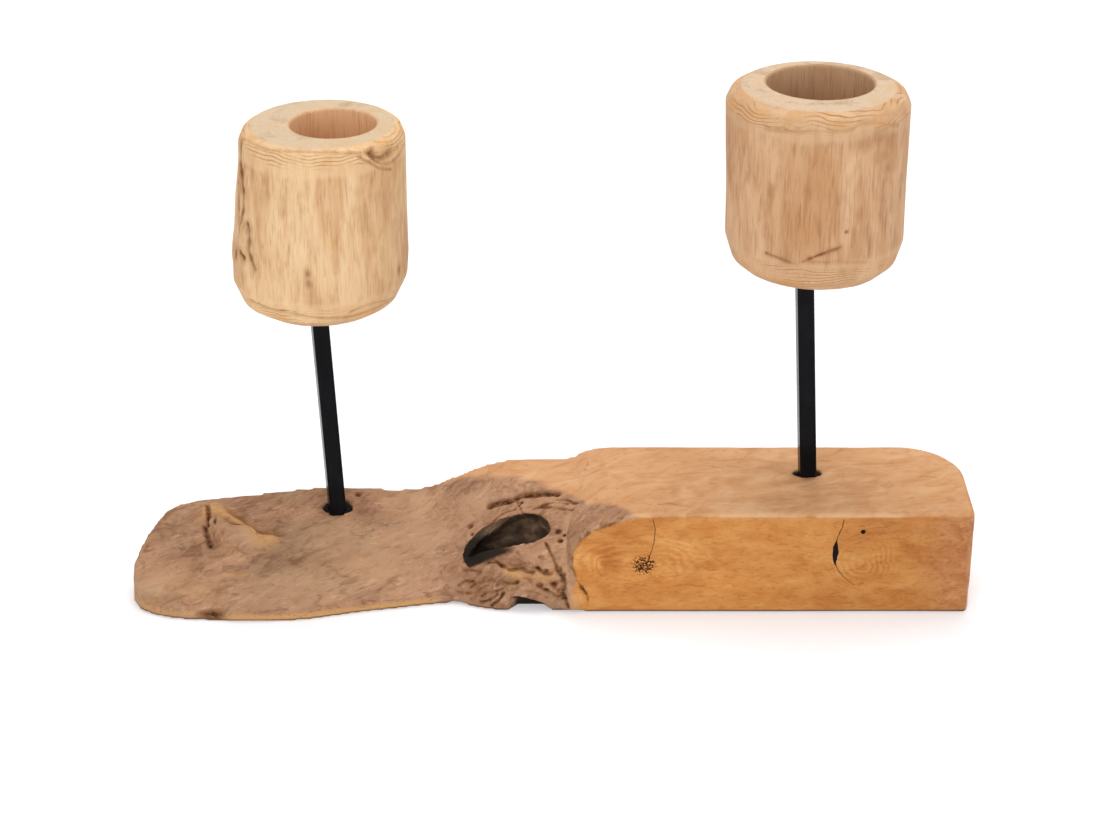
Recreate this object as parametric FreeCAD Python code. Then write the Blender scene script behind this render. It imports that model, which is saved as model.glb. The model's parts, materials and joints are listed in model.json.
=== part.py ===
import FreeCAD, Part
import os

# A stand for two candles, made from a slab of teak root. On the left the slab is a thin,
# weathered tongue that slopes down to the front and carries the stump of a side root. In the
# middle it swells round a rotted knot. On the right it is a block sawn and sanded square.
# A black square steel bar is glued into a drilled socket at each end and leans a little to
# the left. Each bar carries a cup: a length of peeled branch with an off-centre candle bore.
# Millimetres, +Z up, X along the slab, front at -Y. The origin is on the flat underside,
# midway along the slab and midway between its widest front and its sawn back.

Vector = FreeCAD.Vector
UP = Vector(0, 0, 1)
OVERRUN = 6.0

# The slab, and what saw and sander took off its back, its right end and the block.
ROOT_LENGTH = 400.0
ROOT_DEPTH = 80.0
BLOCK_HEIGHT = 53.0
BLOCK_DEPTH = 72.0
BLOCK_FRONT_CORNER = 5.0
BLOCK_BACK_CORNER = 30.0
BLOCK_TOP_EDGE = 2.0
BLOCK_START_SHARE = 0.024

# The grown tongue and swelling, as cross-sections at even steps from past the left tip to
# inside the block. Shares: front edge of ROOT_DEPTH, height at the front and height at the
# back of BLOCK_HEIGHT, and fullness, where 1 is a straight slope from front to back and more
# swells it towards a shoulder at the front.
TONGUE_SECTION_SHARES = (
    (-0.50, 0.07, 0.53, 1.1),
    (-0.50, 0.08, 0.55, 1.15),
    (-0.50, 0.08, 0.52, 1.2),
    (-0.50, 0.08, 0.51, 1.3),
    (-0.49, 0.09, 0.55, 1.3),
    (-0.43, 0.09, 0.57, 1.3),
    (-0.36, 0.09, 0.56, 1.2),
    (-0.33, 0.09, 0.68, 1.4),
    (-0.38, 0.12, 0.84, 2.4),
    (-0.40, 0.20, 0.87, 3.2),
    (-0.42, 0.22, 0.90, 3.6),
    (-0.42, 0.22, 0.92, 3.6),
)
TONGUE_LEFT_SHARE = -0.54
TONGUE_STEP_SHARE = 0.06
TONGUE_BACK_SHARE = 0.55
# Where each section's curve is pinned, as shares of the way from its front to its back.
SLOPE_SHARES = (0.06, 0.16, 0.30, 0.50, 0.75, 1.0)
SKIRT_SHARE = 0.12

# The left end of the block as it grew: its outline in the front plane and in the back plane,
# bottom to top, as shares of ROOT_LENGTH and BLOCK_HEIGHT. Past the top it runs on, uncut.
BLOCK_FRONT_SHARES = (
    (0.053, 0.02), (0.041, 0.25), (0.027, 0.45), (0.033, 0.66),
    (0.057, 0.83), (0.089, 0.93), (0.125, 1.00), (0.170, 1.06),
)
BLOCK_BACK_SHARES = (
    (-0.020, 0.02), (-0.012, 0.30), (0.000, 0.60), (0.018, 0.80),
    (0.036, 0.93), (0.056, 0.985), (0.085, 1.02), (0.125, 1.06),
)

# The slab's edge seen from above, from the block's front round the left tip to the back, as
# shares of ROOT_LENGTH and ROOT_DEPTH.
EDGE_SHARES = (
    (0.110, -0.26), (0.070, -0.37), (0.035, -0.39), (0.000, -0.38), (-0.050, -0.39),
    (-0.085, -0.35), (-0.118, -0.31), (-0.175, -0.35), (-0.230, -0.41), (-0.300, -0.50),
    (-0.370, -0.51), (-0.440, -0.48), (-0.485, -0.39), (-0.500, -0.27), (-0.499, -0.04),
    (-0.489, 0.19), (-0.460, 0.35), (-0.405, 0.46), (-0.340, 0.49), (-0.270, 0.53),
    (-0.200, 0.58),
)

# The stump of a side root on the tongue: a blunt cone that leans to the left and back.
STUMP_X_SHARE = -0.355
STUMP_Y_SHARE = 0.0
STUMP_RADIUS = 15.0
STUMP_TIP_RADIUS = 2.6
STUMP_REACH = 38.0
STUMP_LEAN_DEGREES = 37.0
STUMP_TURN_DEGREES = 17.0

# The rotted knot in the front of the swelling: a leaf-shaped pocket with a hollowed floor.
# The leaf's outline runs clockwise from its tip, in shares of HOLLOW_LENGTH and HOLLOW_WIDTH.
HOLLOW_X_SHARE = -0.049
HOLLOW_Y_SHARE = -0.165
HOLLOW_Z_SHARE = 0.52
HOLLOW_LENGTH = 42.0
HOLLOW_WIDTH = 19.0
HOLLOW_DEPTH = 20.0
HOLLOW_FLOOR_RADIUS = 24.0
HOLLOW_TURN_DEGREES = 18.0
HOLLOW_PITCH_DEGREES = 48.0
HOLLOW_OUTLINE_SHARES = (
    (-0.50, 0.00), (-0.37, 0.27), (-0.12, 0.44), (0.14, 0.60), (0.36, 0.55),
    (0.47, 0.37), (0.50, 0.00), (0.30, -0.22), (0.06, -0.40), (-0.20, -0.22),
)

# The arch rotted out under the front of the swelling, its outline in shares of ARCH_WIDTH
# and ARCH_HEIGHT from left to right.
ARCH_X_SHARE = -0.023
ARCH_WIDTH = 24.0
ARCH_HEIGHT = 11.5
ARCH_DEPTH = 22.0
ARCH_FLOOR_SHARE = 0.45
ARCH_OUTLINE_SHARES = (
    (-0.52, -0.40), (-0.47, 0.62), (-0.29, 1.00), (-0.07, 0.93), (0.23, 0.74), (0.43, 0.48),
    (0.52, -0.40),
)

# The open drying crack in the block's sawn front.
CRACK_X_SHARE = 0.337
CRACK_Z_SHARE = 0.63
CRACK_LENGTH = 14.0
CRACK_WIDTH = 2.6
CRACK_DEPTH = 8.0

# The bars, and the sockets drilled for them, filled up with black adhesive. A bar stands a
# little in front of the middle of its socket.
BAR_WIDTH = 8.0
BAR_EDGE = 1.2
BAR_IN_CUP = 30.0
SOCKET_DIAMETER = 13.4
SOCKET_SHIFT = 1.2
ADHESIVE_RECESS = 0.8

LEFT_FOOT_X_SHARE = -0.2622
LEFT_FOOT_Y_SHARE = 0.31
LEFT_SOCKET_DEPTH = 21.0
LEFT_BAR_SHOWN = 109.7
LEFT_LEAN_DEGREES = 2.75
LEFT_SPIN_DEGREES = 15.0

RIGHT_FOOT_X_SHARE = 0.3105
RIGHT_FOOT_Y_SHARE = 0.116
RIGHT_SOCKET_DEPTH = 35.0
RIGHT_BAR_SHOWN = 110.5
RIGHT_LEAN_DEGREES = 3.17
RIGHT_SPIN_DEGREES = 5.5

# The cups: branch wood sawn flat, with the rim and the foot pared in with a knife. The skin
# of the branch is given as height and radius, in shares of the cup's height and diameter.
# The sway is how far the branch grows sideways up to the rim. The shifts place a cup on its
# bar and a bore in its cup, because neither is centred.
LEFT_CUP_DIAMETER = 79.0
LEFT_CUP_HEIGHT = 90.0
LEFT_CUP_SHIFT_X = 1.4
LEFT_CUP_SHIFT_Y = -0.2
LEFT_CUP_SWAY = 4.0
LEFT_CUP_RIM_INSET = 5.0
LEFT_CUP_RIM_DROP = 6.5
LEFT_CUP_FOOT_INSET = 14.0
LEFT_CUP_FOOT_RISE = 16.0
LEFT_CUP_SKIN_SHARES = ((0.00, 0.518), (0.30, 0.521), (0.60, 0.503), (1.00, 0.485))
LEFT_BORE_DIAMETER = 40.0
LEFT_BORE_DEPTH = 25.0
LEFT_BORE_SHIFT_X = 9.0
LEFT_BORE_SHIFT_Y = 0.9

RIGHT_CUP_DIAMETER = 82.0
RIGHT_CUP_HEIGHT = 86.5
RIGHT_CUP_SHIFT_X = 4.0
RIGHT_CUP_SHIFT_Y = -0.9
RIGHT_CUP_SWAY = -1.2
RIGHT_CUP_RIM_INSET = 7.0
RIGHT_CUP_RIM_DROP = 7.5
RIGHT_CUP_FOOT_INSET = 9.5
RIGHT_CUP_FOOT_RISE = 15.5
RIGHT_CUP_SKIN_SHARES = ((0.00, 0.502), (0.50, 0.500), (1.00, 0.508))
RIGHT_BORE_DIAMETER = 48.5
RIGHT_BORE_DEPTH = 25.0
RIGHT_BORE_SHIFT_X = 0.0
RIGHT_BORE_SHIFT_Y = 5.6

# The knife rounds an end in two facets: where each one ends, as shares of the inset from
# the branch's skin and of the drop from the sawn end.
FACET_SHARES = ((1.00, 0.00), (0.32, 0.36), (0.00, 1.00))
BORE_EDGE = 0.8


def smooth_curve(points):
    """One smooth open edge through the points."""
    curve = Part.BSplineCurve()
    curve.interpolate(points)
    return curve.toShape()


def tongue_section(number, front_share, front_height_share, back_height_share, fullness):
    """One closed cross-section of the tongue or swelling, in a plane square to X."""
    x = (TONGUE_LEFT_SHARE + number * TONGUE_STEP_SHARE) * ROOT_LENGTH
    front = front_share * ROOT_DEPTH
    back = TONGUE_BACK_SHARE * ROOT_DEPTH
    low = front_height_share * BLOCK_HEIGHT
    high = back_height_share * BLOCK_HEIGHT
    points = [Vector(x, front - OVERRUN, -OVERRUN), Vector(x, front, low)]
    places = [0, SKIRT_SHARE]
    for share in SLOPE_SHARES:
        rise = 1 - (1 - share) ** fullness
        points.append(Vector(x, front + share * (back - front), low + rise * (high - low)))
        places.append(SKIRT_SHARE + share * (1 - SKIRT_SHARE))
    curve = Part.BSplineCurve()
    curve.interpolate(Points=points, Parameters=places)
    corner = Vector(x, back, -OVERRUN)
    return Part.Wire([
        curve.toShape(),
        Part.LineSegment(points[-1], corner).toShape(),
        Part.LineSegment(corner, points[0]).toShape(),
    ])


def tongue():
    """The tongue and the swelling as one smooth loft, wider than the slab's own edge."""
    sections = []
    for number, shares in enumerate(TONGUE_SECTION_SHARES):
        sections.append(tongue_section(number, *shares))
    return Part.makeLoft(sections, True)


def block_outline(shares, y):
    """The block's outline in a plane square to Y: grown left end, then past top and right end."""
    points = [Vector(x * ROOT_LENGTH, y, z * BLOCK_HEIGHT) for x, z in shares]
    curve = Part.BSplineCurve()
    curve.interpolate(Points=points, Parameters=list(range(len(points))))
    right = ROOT_LENGTH / 2 + OVERRUN
    corners = [
        points[-1],
        Vector(right, y, points[-1].z),
        Vector(right, y, -OVERRUN),
        Vector(points[0].x, y, -OVERRUN),
        points[0],
    ]
    return Part.Wire([curve.toShape()] + Part.makePolygon(corners).Edges)


def block():
    """The block before it was sawn."""
    front = -ROOT_DEPTH / 2 - OVERRUN
    back = ROOT_DEPTH / 2 + OVERRUN
    outlines = [block_outline(BLOCK_FRONT_SHARES, front), block_outline(BLOCK_BACK_SHARES, back)]
    return Part.makeLoft(outlines, True, True)


def edge_plate():
    """The slab's edge as seen from above, as a plate taller than the slab."""
    points = [Vector(x * ROOT_LENGTH, y * ROOT_DEPTH, -OVERRUN) for x, y in EDGE_SHARES]
    right = ROOT_LENGTH / 2 + OVERRUN
    corners = [
        points[-1],
        Vector(right, points[-1].y, -OVERRUN),
        Vector(right, points[0].y, -OVERRUN),
        points[0],
    ]
    wire = Part.Wire([smooth_curve(points)] + Part.makePolygon(corners).Edges)
    return Part.Face(wire).extrude(UP * (BLOCK_HEIGHT + OVERRUN))


def corner_edge(solid, x, y):
    """The upright edge of a solid at one place in plan."""
    return [edge for edge in solid.Edges if edge.BoundBox.isInside(Vector(x, y, BLOCK_HEIGHT / 2))]


def saw_envelope():
    """What saw and sander leave: underside, back, right end, and the block's front and top."""
    left = -ROOT_LENGTH / 2 - OVERRUN
    right = ROOT_LENGTH / 2
    start = BLOCK_START_SHARE * ROOT_LENGTH
    back = ROOT_DEPTH / 2
    front = back - BLOCK_DEPTH
    uncut = front - OVERRUN - OVERRUN
    outline = Part.makePolygon([
        Vector(left, uncut, 0),
        Vector(start, uncut, 0),
        Vector(start, front, 0),
        Vector(right, front, 0),
        Vector(right, back, 0),
        Vector(left, back, 0),
        Vector(left, uncut, 0),
    ])
    solid = Part.Face(outline).extrude(UP * BLOCK_HEIGHT)
    solid = solid.makeFillet(BLOCK_BACK_CORNER, corner_edge(solid, right, back))
    solid = solid.makeFillet(BLOCK_FRONT_CORNER, corner_edge(solid, right, front))
    return solid.makeChamfer(BLOCK_TOP_EDGE, [edge for edge in solid.Edges if is_block_rim(edge)])


def is_block_rim(edge):
    """Whether an edge of the envelope lies in its top, round the block but not on its left."""
    box = edge.BoundBox
    return box.ZMin > BLOCK_HEIGHT / 2 and box.XMax > BLOCK_START_SHARE * ROOT_LENGTH


def stump():
    """The leaning stump of a side root."""
    cone = Part.makeCone(STUMP_RADIUS, STUMP_TIP_RADIUS, STUMP_REACH)
    lean = FreeCAD.Rotation(Vector(0, 1, 0), -STUMP_LEAN_DEGREES)
    turn = FreeCAD.Rotation(UP, -STUMP_TURN_DEGREES)
    foot = Vector(STUMP_X_SHARE * ROOT_LENGTH, STUMP_Y_SHARE * ROOT_DEPTH, 0)
    cone.Placement = FreeCAD.Placement(foot, turn.multiply(lean))
    return cone


def hollow():
    """The rotted pocket, opening towards the front and up: a leaf with a hollowed floor."""
    points = []
    for along, across in HOLLOW_OUTLINE_SHARES:
        points.append(Vector(along * HOLLOW_LENGTH, across * HOLLOW_WIDTH, -HOLLOW_DEPTH))
    curve = Part.BSplineCurve()
    curve.interpolate(Points=points, PeriodicFlag=True)
    leaf = Part.Face(Part.Wire([curve.toShape()]))
    centre = Vector(0, 0, HOLLOW_FLOOR_RADIUS - HOLLOW_DEPTH)
    bowl = Part.makeSphere(HOLLOW_FLOOR_RADIUS, centre)
    pocket = leaf.extrude(UP * (HOLLOW_DEPTH + OVERRUN)).common(bowl)
    turn = FreeCAD.Rotation(UP, HOLLOW_TURN_DEGREES)
    pitch = FreeCAD.Rotation(Vector(1, 0, 0), HOLLOW_PITCH_DEGREES)
    place = Vector(
        HOLLOW_X_SHARE * ROOT_LENGTH,
        HOLLOW_Y_SHARE * ROOT_DEPTH,
        HOLLOW_Z_SHARE * BLOCK_HEIGHT,
    )
    pocket.Placement = FreeCAD.Placement(place, pitch.multiply(turn))
    return pocket


def arch_wire(scale, y):
    """The arch's outline in a plane square to Y, closed below the table."""
    points = []
    for along, up in ARCH_OUTLINE_SHARES:
        x = ARCH_X_SHARE * ROOT_LENGTH + scale * along * ARCH_WIDTH
        points.append(Vector(x, y, scale * up * ARCH_HEIGHT))
    return Part.Wire([smooth_curve(points), Part.LineSegment(points[-1], points[0]).toShape()])


def arch():
    """The rotted arch, narrowing inwards from the front."""
    front = -ROOT_DEPTH / 2
    outlines = [arch_wire(1, front), arch_wire(ARCH_FLOOR_SHARE, front + ARCH_DEPTH)]
    return Part.makeLoft(outlines, True, True)


def crack():
    """The open crack: a lens cut straight into the block."""
    front = ROOT_DEPTH / 2 - BLOCK_DEPTH
    x = CRACK_X_SHARE * ROOT_LENGTH
    z = CRACK_Z_SHARE * BLOCK_HEIGHT
    start = front - OVERRUN
    top = Vector(x, start, z + CRACK_LENGTH / 2)
    bottom = Vector(x, start, z - CRACK_LENGTH / 2)
    right = Part.Arc(top, Vector(x + CRACK_WIDTH / 2, start, z), bottom)
    left = Part.Arc(bottom, Vector(x - CRACK_WIDTH / 2, start, z), top)
    lens = Part.Wire([right.toShape(), left.toShape()])
    return Part.Face(lens).extrude(Vector(0, OVERRUN + CRACK_DEPTH, 0))


def slab():
    """The slab of root before its sockets are drilled."""
    edge = edge_plate()
    grown = tongue().common(edge).fuse(block()).fuse(stump().common(edge))
    sawn = grown.common(saw_envelope())
    return sawn.cut(hollow()).cut(arch()).cut(crack()).Solids[0]


def top_point(solid, x_share, y_share):
    """The point on top of a solid at one place in plan."""
    x = x_share * ROOT_LENGTH
    y = y_share * ROOT_DEPTH
    line = Part.makeLine(Vector(x, y, 0), Vector(x, y, BLOCK_HEIGHT + OVERRUN))
    return Vector(x, y, solid.common(line).BoundBox.ZMax)


def bar_placement(foot, lean_degrees, spin_degrees):
    """Where a bar stands: at its foot, leaning to the left and spun about its own length."""
    lean = FreeCAD.Rotation(Vector(0, 1, 0), -lean_degrees)
    spin = FreeCAD.Rotation(UP, spin_degrees)
    return FreeCAD.Placement(foot, lean.multiply(spin))


def bar(placement, socket_depth, shown):
    """A square bar with eased edges, from the floor of its socket to its end in the cup."""
    length = socket_depth + shown + BAR_IN_CUP
    corner = Vector(-BAR_WIDTH / 2, -BAR_WIDTH / 2, -socket_depth)
    solid = Part.makeBox(BAR_WIDTH, BAR_WIDTH, length, corner)
    long_edges = [edge for edge in solid.Edges if edge.Length > BAR_WIDTH + BAR_EDGE]
    solid = solid.makeFillet(BAR_EDGE, long_edges)
    solid.Placement = placement
    return solid


def drilling(placement, start, end):
    """A drilled hole along a bar, between two distances from the bar's foot."""
    solid = Part.makeCylinder(SOCKET_DIAMETER / 2, end - start, Vector(0, 0, start), UP)
    solid.Placement = placement
    solid.translate(Vector(0, SOCKET_SHIFT, 0))
    return solid


def cup_blank(skin, diameter, height, sway, rim_inset, rim_drop, foot_inset, foot_rise):
    """A cup before it is bored, standing on the origin: circles joined by straight facets."""
    rings = []
    for inset_share, drop_share in FACET_SHARES:
        radius = skin[0][1] * diameter - inset_share * foot_inset
        rings.append((drop_share * foot_rise, radius))
    for height_share, radius_share in skin[1:-1]:
        rings.append((height_share * height, radius_share * diameter))
    for inset_share, drop_share in reversed(FACET_SHARES):
        radius = skin[-1][1] * diameter - inset_share * rim_inset
        rings.append((height - drop_share * rim_drop, radius))
    wires = []
    for level, radius in rings:
        centre = Vector(sway * level / height, 0, level)
        wires.append(Part.Wire([Part.makeCircle(radius, centre)]))
    return Part.makeLoft(wires, True, True)


def candle_bore(height, bore_diameter, bore_depth, shift_x, shift_y):
    """The candle bore, with its eased edge at the top."""
    radius = bore_diameter / 2
    floor = Vector(shift_x, shift_y, height - bore_depth)
    hole = Part.makeCylinder(radius, bore_depth + OVERRUN, floor)
    easing = Part.makeCone(
        radius,
        radius + BORE_EDGE + OVERRUN,
        BORE_EDGE + OVERRUN,
        Vector(shift_x, shift_y, height - BORE_EDGE),
    )
    return hole.fuse(easing)


def export(shape, node):
    """Write one sub-part as one solid."""
    solids = shape.Solids
    print(node, len(solids), shape.isValid(), round(shape.Volume), shape.optimalBoundingBox())
    solids[0].exportStep(os.path.join("parts", node + ".step"))


def holder(side, root, foot, socket_depth, shown, lean, spin, cup, shift_x, shift_y):
    """Write one bar, its cup and its two fillings, and give back the slab with its socket."""
    placement = bar_placement(foot, lean, spin)
    steel = bar(placement, socket_depth, shown)
    cup = cup.translated(placement.multVec(Vector(0, 0, shown)) + Vector(shift_x, shift_y, 0))
    socket = drilling(placement, -socket_depth, shown / 2)
    cup_hole = drilling(placement, shown / 2, shown + BAR_IN_CUP)
    sunk_root = root.translated(Vector(0, 0, -ADHESIVE_RECESS))
    raised_cup = cup.translated(Vector(0, 0, ADHESIVE_RECESS))
    export(steel, side + "_bar")
    export(cup.cut(cup_hole), side + "_cup")
    export(socket.common(sunk_root).cut(steel), side + "_foot_adhesive")
    export(cup_hole.common(raised_cup).cut(steel), side + "_cup_adhesive")
    return root.cut(socket)


def main():
    os.makedirs("parts", exist_ok=True)
    root = slab()
    left_cup = cup_blank(
        LEFT_CUP_SKIN_SHARES,
        LEFT_CUP_DIAMETER,
        LEFT_CUP_HEIGHT,
        LEFT_CUP_SWAY,
        LEFT_CUP_RIM_INSET,
        LEFT_CUP_RIM_DROP,
        LEFT_CUP_FOOT_INSET,
        LEFT_CUP_FOOT_RISE,
    )
    left_bore = candle_bore(
        LEFT_CUP_HEIGHT,
        LEFT_BORE_DIAMETER,
        LEFT_BORE_DEPTH,
        LEFT_BORE_SHIFT_X,
        LEFT_BORE_SHIFT_Y,
    )
    drilled = holder(
        "left",
        root,
        top_point(root, LEFT_FOOT_X_SHARE, LEFT_FOOT_Y_SHARE),
        LEFT_SOCKET_DEPTH,
        LEFT_BAR_SHOWN,
        LEFT_LEAN_DEGREES,
        LEFT_SPIN_DEGREES,
        left_cup.cut(left_bore),
        LEFT_CUP_SHIFT_X,
        LEFT_CUP_SHIFT_Y,
    )
    right_cup = cup_blank(
        RIGHT_CUP_SKIN_SHARES,
        RIGHT_CUP_DIAMETER,
        RIGHT_CUP_HEIGHT,
        RIGHT_CUP_SWAY,
        RIGHT_CUP_RIM_INSET,
        RIGHT_CUP_RIM_DROP,
        RIGHT_CUP_FOOT_INSET,
        RIGHT_CUP_FOOT_RISE,
    )
    right_bore = candle_bore(
        RIGHT_CUP_HEIGHT,
        RIGHT_BORE_DIAMETER,
        RIGHT_BORE_DEPTH,
        RIGHT_BORE_SHIFT_X,
        RIGHT_BORE_SHIFT_Y,
    )
    drilled = holder(
        "right",
        drilled,
        top_point(root, RIGHT_FOOT_X_SHARE, RIGHT_FOOT_Y_SHARE),
        RIGHT_SOCKET_DEPTH,
        RIGHT_BAR_SHOWN,
        RIGHT_LEAN_DEGREES,
        RIGHT_SPIN_DEGREES,
        right_cup.cut(right_bore),
        RIGHT_CUP_SHIFT_X,
        RIGHT_CUP_SHIFT_Y,
    )
    export(drilled, "root_base")


main()
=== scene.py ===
import json
import math

import bpy
import numpy as np
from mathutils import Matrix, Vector, kdtree, noise
from mathutils.bvhtree import BVHTree


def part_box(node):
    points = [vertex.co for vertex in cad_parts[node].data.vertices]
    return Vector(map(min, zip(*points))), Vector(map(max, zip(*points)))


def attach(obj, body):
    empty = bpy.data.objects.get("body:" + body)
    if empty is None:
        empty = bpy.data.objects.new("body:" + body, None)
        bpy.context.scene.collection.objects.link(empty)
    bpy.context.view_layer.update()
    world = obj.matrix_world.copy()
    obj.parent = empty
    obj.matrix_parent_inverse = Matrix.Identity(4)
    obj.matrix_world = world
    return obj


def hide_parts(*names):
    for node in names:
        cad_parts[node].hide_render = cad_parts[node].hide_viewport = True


# A stand for two candles: a slab of teak root, weathered on its grown side and sawn and
# sanded to a block at the right, with a black square steel bar at each end that carries a cup
# of peeled branch wood. Millimetres below are turned to metres by MM.

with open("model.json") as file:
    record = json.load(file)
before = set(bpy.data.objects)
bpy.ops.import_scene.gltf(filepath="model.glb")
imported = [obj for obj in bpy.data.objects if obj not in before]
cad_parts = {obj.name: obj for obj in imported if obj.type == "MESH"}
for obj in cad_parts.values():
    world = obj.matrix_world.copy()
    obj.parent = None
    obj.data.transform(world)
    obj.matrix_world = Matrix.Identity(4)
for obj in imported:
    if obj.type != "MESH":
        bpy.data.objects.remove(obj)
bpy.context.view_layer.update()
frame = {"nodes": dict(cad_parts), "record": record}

MM = 0.001

MERGE_DISTANCE = 0.00001
NOISE_ROUGHNESS = 0.55
WHITE = "#ffffff"

# Marks on the slab are laid out in mm, as a maker would scribe them: front marks as (x, z),
# cast onto the wood from the front, and top marks as (x, y), cast from above.
FRONT_FACE_Y = -32.0
CAST_FROM_Y = -200 * MM
CAST_FROM_Z = 400 * MM


def linear(hex_colour):
    """An sRGB hex colour as the linear colour that a shader socket takes."""
    channels = [int(hex_colour[i:i + 2], 16) / 255 for i in (1, 3, 5)]
    return tuple(c / 12.92 if c <= 0.04045 else ((c + 0.055) / 1.055) ** 2.4 for c in channels) + (1.0,)


def feed(socket, value):
    """Give a socket a value, or a link where the value is another node's socket."""
    if isinstance(value, bpy.types.NodeSocket):
        socket.id_data.links.new(value, socket)
    else:
        socket.default_value = value


def add_node(kind, settings=None, tree=None, **inputs):
    """Add one node, to its inputs' tree unless one is given; an input is named, or i and a number."""
    if tree is None:
        tree = next(value.id_data for value in inputs.values() if isinstance(value, bpy.types.NodeSocket))
    node = tree.nodes.new(kind)
    for name, value in (settings or {}).items():
        setattr(node, name, value)
    for name, value in inputs.items():
        feed(node.inputs[int(name[1:]) if name[1:].isdigit() else name], value)
    return node


def new_material(name):
    """An empty node material, its shader and its object coordinates."""
    material = bpy.data.materials.new(name)
    material.use_nodes = True
    nodes = material.node_tree.nodes
    return material, nodes["Principled BSDF"], nodes.new("ShaderNodeTexCoord").outputs["Object"]


def ramp(factor, stops):
    """A colour ramp through (place, hex colour) stops."""
    node = add_node("ShaderNodeValToRGB", i0=factor)
    band = node.color_ramp
    while len(band.elements) < len(stops):
        band.elements.new(0.5)
    for element, (where, colour) in zip(band.elements, stops):
        element.position = where
        element.color = linear(colour)
    return node.outputs["Color"]


def between(factor, low, high):
    """A value run from 0 at low to 1 at high, smooth and clamped."""
    settings = {"interpolation_type": "SMOOTHSTEP"}
    return add_node("ShaderNodeMapRange", settings, i0=factor, i1=low, i2=high).outputs["Result"]


def mix(factor, first, second, blend="MIX"):
    """Two colours mixed."""
    settings = {"data_type": "RGBA", "blend_type": blend}
    return add_node("ShaderNodeMix", settings, i0=factor, i6=first, i7=second).outputs[2]


def tint(factor, colour, hex_colour):
    """A colour mixed with a plain one."""
    return mix(factor, colour, linear(hex_colour))


def grain(place, size_mm, stretch, detail=4.0, distortion=0.0, turn=0.0):
    """Noise whose cells are size_mm across, stretched along each axis, turned in plan."""
    scale = tuple(size_mm * MM * s for s in stretch)
    turned = (0.0, 0.0, math.radians(turn))
    mapped = add_node("ShaderNodeMapping", {"vector_type": "TEXTURE"}, i0=place, i2=turned, i3=scale)
    node = add_node("ShaderNodeTexNoise", Vector=mapped.outputs[0], Scale=1.0, Detail=detail,
                    Distortion=distortion, Roughness=NOISE_ROUGHNESS)
    return node.outputs["Fac"]


def maths(operation, first, second=0.0, third=0.0):
    """One arithmetic node."""
    return add_node("ShaderNodeMath", {"operation": operation}, i0=first, i1=second, i2=third).outputs[0]


def times(first, second):
    """A product."""
    return maths("MULTIPLY", first, second)


def scaled(value, factor, offset):
    """A value times a factor plus an offset."""
    return maths("MULTIPLY_ADD", value, factor, offset)


def length(a, b):
    """The length of a flat vector with two parts."""
    return maths("SQRT", maths("ADD", times(a, a), times(b, b)))


def parts(place):
    """The x, y and z of a place."""
    return add_node("ShaderNodeSeparateXYZ", i0=place).outputs


def mark(place, name):
    """What a mesh carries at a place under a name, such as where it is dark."""
    return add_node("ShaderNodeAttribute", {"attribute_name": name}, place.id_data).outputs["Fac"]


def bump(height, distance_mm, strength):
    """A bump as deep as distance_mm."""
    node = add_node("ShaderNodeBump", Height=height, Distance=distance_mm * MM, Strength=strength)
    return node.outputs["Normal"]


def dress(shader, colour, roughness, gloss, normal):
    """Join a surface's colour, roughness, gloss and bump to its shader."""
    feed(shader.inputs["Base Color"], colour)
    feed(shader.inputs["Roughness"], roughness)
    feed(shader.inputs["Specular IOR Level"], gloss)
    feed(shader.inputs["Normal"], normal)


def coat(piece, material):
    """Give a piece one material and no other."""
    piece.data.materials.clear()
    piece.data.materials.append(material)


def stand_for(piece, node, material):
    """Give a piece its material and let it stand for a CAD node."""
    coat(piece, material)
    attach(piece, "root")
    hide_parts(node)


def cast(surface, side, a, b):
    """The point on the wood under a mark: front marks are (x, z), top marks (x, y), in mm."""
    if side == "front":
        start, way = Vector((a * MM, CAST_FROM_Y, b * MM)), Vector((0, 1, 0))
    else:
        start, way = Vector((a * MM, b * MM, CAST_FROM_Z)), Vector((0, 0, -1))
    return surface.ray_cast(start, way)[0]


def trace(surface, side, points, step_mm=0.6):
    """A scribed line as close-set points on the wood, rounded through its marks."""
    marks = [Vector(p) for p in points]
    found = []
    for i in range(len(marks) - 1):
        before = marks[max(i - 1, 0)]
        start, end = marks[i], marks[i + 1]
        after = marks[min(i + 2, len(marks) - 1)]
        count = max(2, int((end - start).length / step_mm))
        for k in range(count):
            t = k / count
            p = 0.5 * (2 * start + (end - before) * t + (2 * before - 5 * start + 4 * end - after) * t * t
                       + (3 * start - before - 3 * end + after) * t ** 3)
            hit = cast(surface, side, p[0], p[1])
            if hit is not None:
                found.append(hit)
    return found


def dense_copy(node, name, voxel_mm):
    """A copy of a CAD node, merged and remeshed to an even grid, selected and active."""
    source = frame["nodes"][node]
    piece = source.copy()
    piece.data = source.data.copy()
    piece.name = name
    piece.data.name = name
    bpy.context.scene.collection.objects.link(piece)
    bpy.ops.object.select_all(action="DESELECT")
    piece.select_set(True)
    bpy.context.view_layer.objects.active = piece
    bpy.ops.object.mode_set(mode="EDIT")
    bpy.ops.mesh.select_all(action="SELECT")
    bpy.ops.mesh.remove_doubles(threshold=MERGE_DISTANCE)
    bpy.ops.object.mode_set(mode="OBJECT")
    remesh = piece.modifiers.new("remesh", "REMESH")
    remesh.mode = "VOXEL"
    remesh.voxel_size = voxel_mm * MM
    bpy.ops.object.modifier_apply(modifier=remesh.name)
    return piece


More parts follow.
